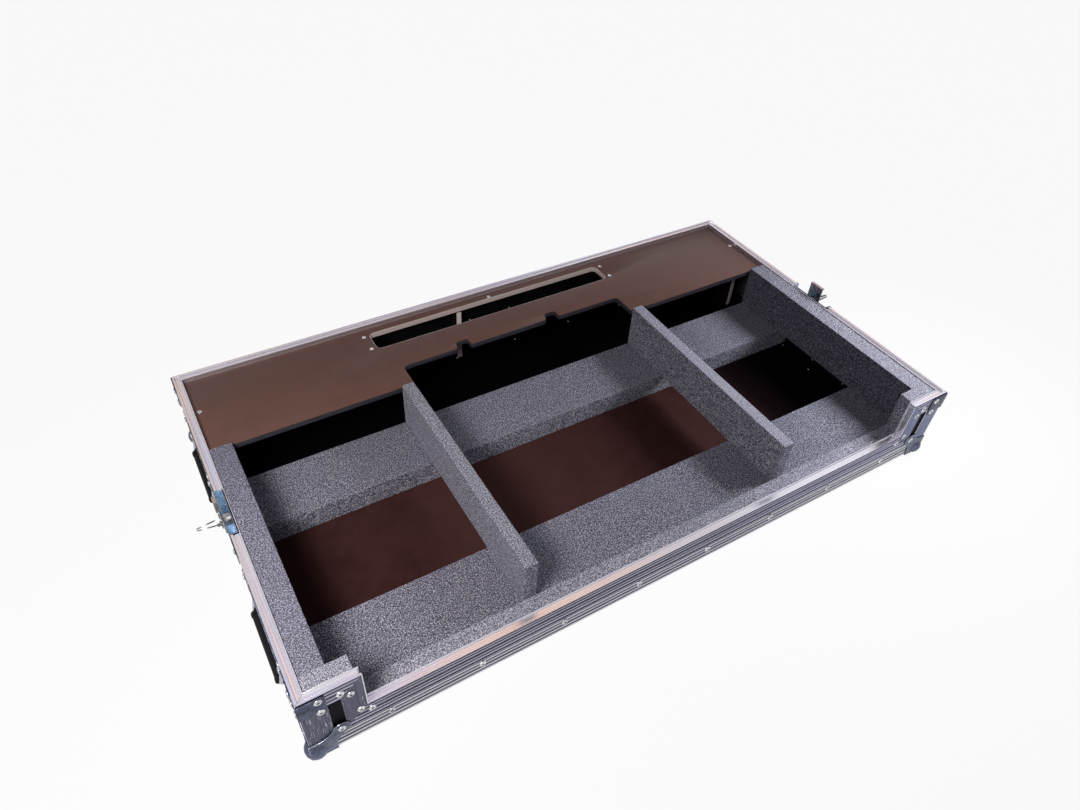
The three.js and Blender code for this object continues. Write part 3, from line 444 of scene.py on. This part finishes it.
for name in nodes:
    if name in ("left_rim", "right_rim"):
        dress(name, alu_rim_y)
    elif name in ("rear_rim", "left_wing_rim", "right_wing_rim"):
        dress(name, alu_rim_x)
    elif name == "front_rim":
        dress(name, alu_front)
    elif name.endswith("_notch_rim"):
        dress(name, alu_notch)
    elif name in ("front_bottom_angle", "rear_bottom_angle"):
        dress(name, alu_base_x)
    elif name.endswith("_bottom_angle"):
        dress(name, alu_base_y)
    elif name.endswith("_corner_angle"):
        dress(name, alu_corner)
    elif name.endswith("_ball_corner"):
        dress(name, ball_zinc)
    elif name.endswith("_brace"):
        dress(name, brace_zinc)
    elif name.endswith("_handle_dish"):
        dress(name, handle_zinc)
    elif name.endswith("_latch_dish"):
        dress(name, dish_zinc)
    elif name.endswith("_leaf"):
        dress(name, leaf_zinc)
    elif name.endswith(("_hook", "_spindle")):
        dress(name, latch_zinc)
    elif name.endswith("_bail"):
        dress(name, grip_and_wire(f"{name}_finish", 1 if name.startswith("right") else -1,
                                  1 if "_rear_" in name else -1))
    elif name == "floor_panel":
        dress(name, brown_floor)
    elif name == "cable_shelf":
        dress(name, brown)
    elif name in ("left_shelf_rib", "right_shelf_rib", "left_shelf_batten", "right_shelf_batten",
                  "middle_shelf_post"):
        dress(name, bare_ply_painted_shade)
    elif name.endswith("_panel"):
        dress(name, black)


# ---------------------------------------------------------------- soft arrises on the CAD pieces

JOIN = 0.00001                                  # corners closer than this are one, in metres
SMOOTH_BELOW = 31                               # degrees between faces that shade as one


def smooth_group():
    """A node group that joins split corners and shades smooth below an angle."""
    group = bpy.data.node_groups.new("smooth_by_angle", "GeometryNodeTree")
    group.interface.new_socket("Geometry", in_out="INPUT", socket_type="NodeSocketGeometry")
    group.interface.new_socket("Geometry", in_out="OUTPUT", socket_type="NodeSocketGeometry")
    start, end = group.nodes.new("NodeGroupInput"), group.nodes.new("NodeGroupOutput")
    weld = group.nodes.new("GeometryNodeMergeByDistance")
    weld.inputs["Distance"].default_value = JOIN
    faces = group.nodes.new("GeometryNodeSetShadeSmooth")
    edges = group.nodes.new("GeometryNodeSetShadeSmooth")
    edges.domain = "EDGE"
    edges.inputs["Shade Smooth"].default_value = False
    angle = group.nodes.new("GeometryNodeInputMeshEdgeAngle")
    sharp = group.nodes.new("FunctionNodeCompare")
    sharp.data_type = "FLOAT"
    sharp.operation = "GREATER_THAN"
    sharp.inputs[1].default_value = math.radians(SMOOTH_BELOW)
    link = group.links.new
    link(start.outputs[0], weld.inputs["Geometry"])
    link(weld.outputs[0], faces.inputs["Geometry"])
    link(faces.outputs[0], edges.inputs["Geometry"])
    link(angle.outputs["Unsigned Angle"], sharp.inputs[0])
    link(sharp.outputs[0], edges.inputs["Selection"])
    link(edges.outputs[0], end.inputs[0])
    return group


smooth = smooth_group()


def soften(obj, width, segments=2, angle=50, arris_highlight=None):
    """Bevels the edges sharper than an angle, in a paler finish if one is given, a painted highlight
    along the arris.
    """
    weld = obj.modifiers.new("weld", "WELD")
    weld.merge_threshold = JOIN
    bevel = obj.modifiers.new("arris", "BEVEL")
    bevel.width = width * MM
    bevel.segments = segments
    bevel.limit_method = "ANGLE"
    bevel.angle_limit = math.radians(angle)
    if arris_highlight:
        obj.data.materials.append(arris_highlight)
        bevel.material = len(obj.data.materials) - 1
    shade = obj.modifiers.new("smooth", "NODES")
    shade.node_group = smooth


for name, node in nodes.items():
    if "foam" in name:
        continue
    if name.endswith(("_panel", "_rib", "_batten", "_post", "_shelf")):
        soften(node, 0.5)
    elif name.endswith("_corner_angle"):
        soften(node, 0.7, 1, 65, arris_highlight_aluminium)
    elif name.endswith(("_rim", "_bottom_angle")):
        soften(node, 0.3, 1)
    elif name.endswith("_ball_corner"):
        soften(node, 1.1, 2, 70, arris_highlight_zinc)
    elif name.endswith("_brace"):
        soften(node, 0.7, 2, 50, arris_highlight_zinc)
    else:
        soften(node, 0.25, 1, 40)


# ---------------------------------------------------------------- pieces

def place_mesh(name, bm, material):
    mesh = bpy.data.meshes.new(name)
    bm.to_mesh(mesh)
    bm.free()
    obj = bpy.data.objects.new(name, mesh)
    bpy.context.scene.collection.objects.link(obj)
    mesh.materials.append(material)
    return obj


def piece(name, bm, material):
    """A piece that rides on the tray, with its material slot."""
    obj = place_mesh(name, bm, material)
    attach(obj, "tray")
    return obj


def basis(normal):
    """A turn that carries +Z to the normal."""
    return Vector((0, 0, 1)).rotation_difference(normal.normalized()).to_matrix().to_4x4()


SIDES = 20                                      # of a turned form
HOLLOW = 6                                      # ring of a rivet where the hollow of its pin starts


def revolve(bm, profile, place, normal):
    """Adds a turned form: (radius, height) points from the rim to the axis. Its faces from the
    ring HOLLOW on take the second material, the painted shade in the hollow of a rivet's pin;
    the screws and rivet ends have fewer rings."""
    turn = Matrix.Translation(place) @ basis(normal)
    rings = []
    for radius, height in profile:
        if radius == 0:
            rings.append([bm.verts.new(turn @ mm(0, 0, height))])
            continue
        ring = []
        for i in range(SIDES):
            a = 2 * math.pi * i / SIDES
            point = mm(radius * math.cos(a), radius * math.sin(a), height)
            ring.append(bm.verts.new(turn @ point))
        rings.append(ring)
    for step, (low, high) in enumerate(zip(rings, rings[1:])):
        for i in range(SIDES):
            j = (i + 1) % SIDES
            if len(high) == 1:
                face = bm.faces.new((low[i], low[j], high[0]))
            else:
                face = bm.faces.new((low[i], low[j], high[j], high[i]))
            face.smooth = True
            face.material_index = 1 if step >= HOLLOW else 0
    if len(rings[0]) > 1:
        bm.faces.new(list(reversed(rings[0])))


# Profiles in millimetres: a blind rivet's low dome with the hollow of its pin, the end of a rivet
# on the inside, and a countersunk screw with its socket
RIVET = [(5.3, 0), (5.3, 0.45), (4.9, 1.1), (4.1, 1.6), (3.1, 1.95), (2.2, 2.0), (1.8, 1.7),
         (1.6, 0.6), (0.8, 0.35), (0, 0.4)]
RIVET_END = [(2.6, 0), (2.9, 0.5), (2.8, 1.6), (2.2, 2.5), (1.3, 3.0), (0, 3.1)]
SCREW = [(3.6, 0), (3.55, 0.25), (3.1, 0.45), (1.9, 0.5), (1.5, 0.15), (0, -0.1)]


def thin(profile, width, height):
    return [(width * r, height * h) for r, h in profile]


def fasteners(name, profile, spots):
    """One piece of all the fasteners at (place, outward normal) spots."""
    bm = bmesh.new()
    for place, normal in spots:
        revolve(bm, profile, mm(*place), Vector(normal))
    obj = piece(name, bm, rivet_zinc)
    # The hollow of each rivet's pin is painted near black: painted shade
    obj.data.materials.append(pin_hollow_painted_shade)


ROW_START, ROW_STEP, ROW_COUNT = -450, 128.57, 8
front_spots, rear_spots = [], []
for i in range(ROW_COUNT):
    across = ROW_START + ROW_STEP * i
    front_spots.append(((across, -HALF_Y, LOW_ROW), (0, -1, 0)))
    rear_spots.append(((across, HALF_Y, LOW_ROW), (0, 1, 0)))
    if 0 < i < ROW_COUNT - 1:
        rear_spots.append(((across, HALF_Y, HIGH_ROW), (0, 1, 0)))
for sign in (-1, 1):
    for x, z in ((49.9, 119), (61.1, 107.8), (68.7, 62.7), (82.2, 52.4)):
        front_spots.append(((sign * (HALF_X - x), -HALF_Y, BASE + z), (0, -1, 0)))
fasteners("front_rivets", RIVET, front_spots)
fasteners("rear_rivets", RIVET, rear_spots)

brace_spots, ball_spots = [], []
for sx in (-1, 1):
    for sy in (-1, 1):
        for z in (127.0, 102.8):
            brace_spots += [
                ((sx * (HALF_X - BRACE_RIVET), sy * (HALF_Y + PLATE), BASE + z), (0, sy, 0)),
                ((sx * (HALF_X + PLATE), sy * (HALF_Y - BRACE_RIVET), BASE + z), (sx, 0, 0))]
        in_x, in_y = sx * (HALF_X - BALL_RIVET), sy * (HALF_Y - BALL_RIVET)
        ball_spots += [
            ((in_x, sy * (HALF_Y + BALL_PLATE), BASE + BALL_RIVET), (0, sy, 0)),
            ((sx * (HALF_X + BALL_PLATE), in_y, BASE + BALL_RIVET), (sx, 0, 0)),
            ((in_x, in_y, BASE - BALL_PLATE), (0, 0, -1))]
fasteners("brace_rivets", RIVET, brace_spots)
fasteners("ball_corner_rivets", thin(RIVET, 1, 0.8), ball_spots)

for side, sign in (("left", -1), ("right", 1)):
    outward = (sign, 0, 0)
    on_panel, on_plate = sign * HALF_X, sign * (HALF_X + PLATE)
    spots = [((on_panel, y, LOW_ROW), outward) for y in (-225, -75, 75, 225)]
    spots += [((on_panel, y, HIGH_ROW), outward) for y in (-240, -92, 92, 240)]
    for centre in (-HANDLE_Y, HANDLE_Y):
        for dy in (-74.6, 74.6):
            for dz in (-38.5, 38.5):
                spots.append(((on_plate, centre + dy, HANDLE_Z + dz), outward))
    for dy in (-44.2, 44.2):
        spots.append(((on_plate, dy, RIM - 34), outward))
        spots.append(((on_plate, 0.5 * dy, RIM - 60), outward))
    fasteners(f"{side}_side_rivets", thin(RIVET, 0.84, 0.9), spots)

# Where these stand in the photograph
shelf_spots = [((x, y, SHELF_TOP), (0, 0, 1)) for x, y in (
    (-534.5, 219), (535, 218), (2, 285), (-246, 276), (-246, 241), (246, 276), (246, 241))]
fasteners("shelf_screws", SCREW, shelf_spots)
inner_spots = [((x, 279, FLOOR_TOP), (0, 0, 1)) for x in (-325, -197, -69, 58, 184, 311)]
inner_spots += [((533.5, 13, FLOOR_TOP), (0, 0, 1)), ((524, -67, FLOOR_TOP), (0, 0, 1))]
inner_spots += [((HALF_X - WALL_IN, y, 27), (-1, 0, 0)) for y in (-55, -135)]
inner_spots += [((x, HALF_Y - WALL_IN, 84.2), (0, -1, 0)) for x in (-31, 54)]
fasteners("inner_rivet_ends", thin(RIVET_END, 0.7, 0.55), inner_spots)


# ---------------------------------------------------------------- foam

FOAM_ARRIS, FOAM_STEP = 1.6, 16                 # soft edge, and the mesh's step, in millimetres


def foam_block(node, outline, front, rear, seed):
    """Cut foam in place of a CAD foam solid: a prism along y of an outline in x and z, with soft
    edges and faces that wave a little from the knife."""
    bm = bmesh.new()
    ends = [[bm.verts.new(mm(x, y, z)) for x, z in outline] for y in (front, rear)]
    count = len(outline)
    for i in range(count):
        j = (i + 1) % count
        bm.faces.new((ends[0][i], ends[0][j], ends[1][j], ends[1][i]))
    bm.faces.new(ends[0])
    bm.faces.new(ends[1])
    bmesh.ops.recalc_face_normals(bm, faces=bm.faces)
    bmesh.ops.bevel(bm, geom=list(bm.edges), offset=FOAM_ARRIS * MM, segments=2, profile=0.5,
                    affect="EDGES", clamp_overlap=True)
    step = FOAM_STEP * MM
    for direction in range(3):
        lowest = min(v.co[direction] for v in bm.verts)
        highest = max(v.co[direction] for v in bm.verts)
        cuts = int((highest - lowest) / step)
        for i in range(1, cuts + 1):
            place = Vector((0, 0, 0))
            place[direction] = lowest + (highest - lowest) * i / (cuts + 1)
            normal = Vector((0, 0, 0))
            normal[direction] = 1
            bmesh.ops.bisect_plane(bm, geom=list(bm.verts) + list(bm.edges) + list(bm.faces),
                                   plane_co=place, plane_no=normal)
    bm.normal_update()
    shift = Vector((seed * 3.7, seed * 1.3, seed * 2.1))
    moved = []
    for v in bm.verts:
        wave = noise.noise(v.co * 9 + shift) * 0.5 + noise.noise(v.co * 34 + shift) * 0.25
        moved.append(v.co - v.normal * (0.35 + 0.35 * wave) * MM)
    for v, place in zip(bm.verts, moved):
        v.co = place
    for face in bm.faces:
        face.smooth = True
    obj = piece(f"cut_{node}", bm, foam_of.get(node, ledge_foam))
    weighted = obj.modifiers.new("faces", "WEIGHTED_NORMAL")
    weighted.keep_sharp = True
    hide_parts(node)


def box_in_mm(node):
    low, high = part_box(node)
    return [value / MM for value in (*low, *high)]


for index, node in enumerate(("left_foam_wall", "right_foam_wall", "left_foam_divider",
                              "right_foam_divider", "front_foam_ledge", "rear_foam_ledge")):
    x0, y0, z0, x1, y1, z1 = box_in_mm(node)
    if node.endswith("_wall"):
        y0 -= WALL_SEAT
    foam_block(node, [(x0, z0), (x1, z0), (x1, z1), (x0, z1)], y0, y1, index + 1)

x0, y0, z0, x1, y1, z1 = box_in_mm("front_foam")
strip_top = FRONT_RIM - STRIP_SINK
foam_block("front_foam", [
    (x0, z0), (x1, z0), (x1, z1), (x1 - END_BLOCK, z1), (x1 - END_BLOCK, strip_top),
    (x0 + END_BLOCK, strip_top), (x0 + END_BLOCK, z1), (x0, z1)], y0, y1, 9)


# ---------------------------------------------------------------- studio

def rays(tree):
    """1 for rays that see the background as such: from the camera, and in gloss and glass."""
    path = tree.nodes.new("ShaderNodeLightPath")
    total = path.outputs["Is Camera Ray"]
    for name in ("Is Glossy Ray", "Is Transmission Ray"):
        most = tree.nodes.new("ShaderNodeMath")
        most.operation = "MAXIMUM"
        tree.links.new(total, most.inputs[0])
        tree.links.new(path.outputs[name], most.inputs[1])
        total = most.outputs[0]
    return total


# Soft panels that gloss shows in place of the pale ground: direction from the tray, reach in
# degrees, colour. They stand where the photographed metal mirrors something.
GROUND = (0.86, 0.85, 0.92)
PANELS = [
    ((0.376, 0.727, 0.576), 20, (0.42, 0.38, 0.58)),
    ((0.0, 0.75, 0.66), 18, (1.0, 0.77, 0.585)),
    ((0.27, 0.43, 0.86), 13, (1.55, 0.93, 0.57)),
    ((0.0, 0.47, 0.88), 11, (0.66, 0.76, 1.2)),
    ((0.68, 0.28, 0.68), 13, (1.4, 1.65, 1.75)),
    ((0.57, 0.66, 0.49), 12, (2.1, 2.3, 2.3)),
    ((0.69, 0.48, 0.53), 13, (1.6, 1.0, 0.82)),
]


FILL = 0.035                                    # strength of the sky's even light
FLOOR_GLOW = 0.94                               # share of white in the floor that the camera sees
FLOOR_DROP = 0.0005                             # the floor lies this far below the tray, in metres


def studio_world():
    """An even, weak light, and the pale ground with its panels for the camera and for gloss."""
    world = bpy.data.worlds.new("studio")
    bpy.context.scene.world = world
    world.use_nodes = True
    tree = world.node_tree
    tree.nodes.clear()
    out = tree.nodes.new("ShaderNodeOutputWorld")
    fill = tree.nodes.new("ShaderNodeBackground")
    fill.inputs["Color"].default_value = (0.90, 0.88, 1.0, 1)
    fill.inputs["Strength"].default_value = FILL
    ground = tree.nodes.new("ShaderNodeBackground")
    ground.inputs["Strength"].default_value = 1.0
    way = tree.nodes.new("ShaderNodeTexCoord").outputs["Generated"]
    total = None
    for direction, reach, colour in PANELS:
        dot = tree.nodes.new("ShaderNodeVectorMath")
        dot.operation = "DOT_PRODUCT"
        dot.inputs[1].default_value = Vector(direction).normalized()
        tree.links.new(way, dot.inputs[0])
        span = tree.nodes.new("ShaderNodeMapRange")
        span.interpolation_type = "SMOOTHSTEP"
        span.inputs["From Min"].default_value = math.cos(math.radians(reach))
        span.inputs["From Max"].default_value = 1.0
        tree.links.new(dot.outputs["Value"], span.inputs["Value"])
        over = tree.nodes.new("ShaderNodeMix")
        over.data_type = "RGBA"
        tree.links.new(span.outputs["Result"], over.inputs[0])
        if total is None:
            over.inputs[6].default_value = (*GROUND, 1)
        else:
            tree.links.new(total, over.inputs[6])
        over.inputs[7].default_value = (*colour, 1)
        total = over.outputs[2]
    tree.links.new(total, ground.inputs["Color"])
    mix = tree.nodes.new("ShaderNodeMixShader")
    tree.links.new(rays(tree), mix.inputs[0])
    tree.links.new(fill.outputs[0], mix.inputs[1])
    tree.links.new(ground.outputs[0], mix.inputs[2])
    tree.links.new(mix.outputs[0], out.inputs["Surface"])


def studio_floor():
    """A matt floor that takes the tray's shadow, and shows almost white to the camera."""
    bm = bmesh.new()
    bmesh.ops.create_grid(bm, x_segments=8, y_segments=8, size=9)
    material = bpy.data.materials.new("pale_floor")
    material.use_nodes = True
    tree = material.node_tree
    shader = tree.nodes["Principled BSDF"]
    shader.inputs["Base Color"].default_value = (0.82, 0.82, 0.83, 1)
    shader.inputs["Roughness"].default_value = 0.9
    shader.inputs["Specular IOR Level"].default_value = 0.0
    glow = tree.nodes.new("ShaderNodeEmission")
    glow.inputs["Strength"].default_value = 1.0
    mix = tree.nodes.new("ShaderNodeMixShader")
    share = tree.nodes.new("ShaderNodeMath")
    share.operation = "MULTIPLY"
    share.inputs[1].default_value = FLOOR_GLOW
    tree.links.new(rays(tree), share.inputs[0])
    tree.links.new(share.outputs[0], mix.inputs[0])
    tree.links.new(shader.outputs[0], mix.inputs[1])
    tree.links.new(glow.outputs[0], mix.inputs[2])
    tree.links.new(mix.outputs[0], tree.nodes["Material Output"].inputs["Surface"])
    obj = place_mesh("floor", bm, material)
    obj.location.z = -FLOOR_DROP


def softbox(name, place, side, power, colour, target, spread):
    """A square soft light in metres and watts, with its spread in degrees."""
    light = bpy.data.lights.new(name, "AREA")
    light.shape = "SQUARE"
    light.size = side
    light.energy = power
    light.color = colour
    light.spread = math.radians(spread)
    obj = bpy.data.objects.new(name, light)
    bpy.context.scene.collection.objects.link(obj)
    obj.location = place
    way = Vector(target) - Vector(place)
    obj.rotation_euler = way.to_track_quat("-Z", "Y").to_euler()
    return obj


studio_world()
studio_floor()
right_light = softbox("right_light", (1.25, -0.4, 0.95), 0.5, 2.25, (0.93, 0.96, 1.0),
                      (0.45, -0.22, 0), 56)
# Its mirror image would wash out the channel of the right wing; the panels give the gloss there
right_light.visible_glossy = False
softbox("left_light", (-0.9, -0.5, 0.89), 0.36, 3.05, (1.0, 0.965, 0.95), (-0.45, -0.05, 0), 100)

# The camera was fitted to the photograph's straight edges
FOCAL_PIXELS, FRAME_PIXELS, SENSOR = 774.037, 1080, 36
camera_data = bpy.data.cameras.new("camera")
camera_data.sensor_fit = "HORIZONTAL"
camera_data.sensor_width = SENSOR
camera_data.lens = FOCAL_PIXELS / FRAME_PIXELS * SENSOR
camera_data.clip_start = 0.05
camera = bpy.data.objects.new("camera", camera_data)
bpy.context.scene.collection.objects.link(camera)
right = Vector((0.85934833, -0.50909474, 0.04840448))
down = Vector((-0.32116255, -0.61092173, -0.72362232))
ahead = Vector((0.39796367, 0.60629793, -0.68849672))
turn = Matrix((right, -down, -ahead)).transposed().to_4x4()
camera.matrix_world = Matrix.Translation((-0.554771, -0.762278, 0.987936)) @ turn
bpy.context.scene.camera = camera
bpy.context.scene.view_settings.view_transform = "Standard"
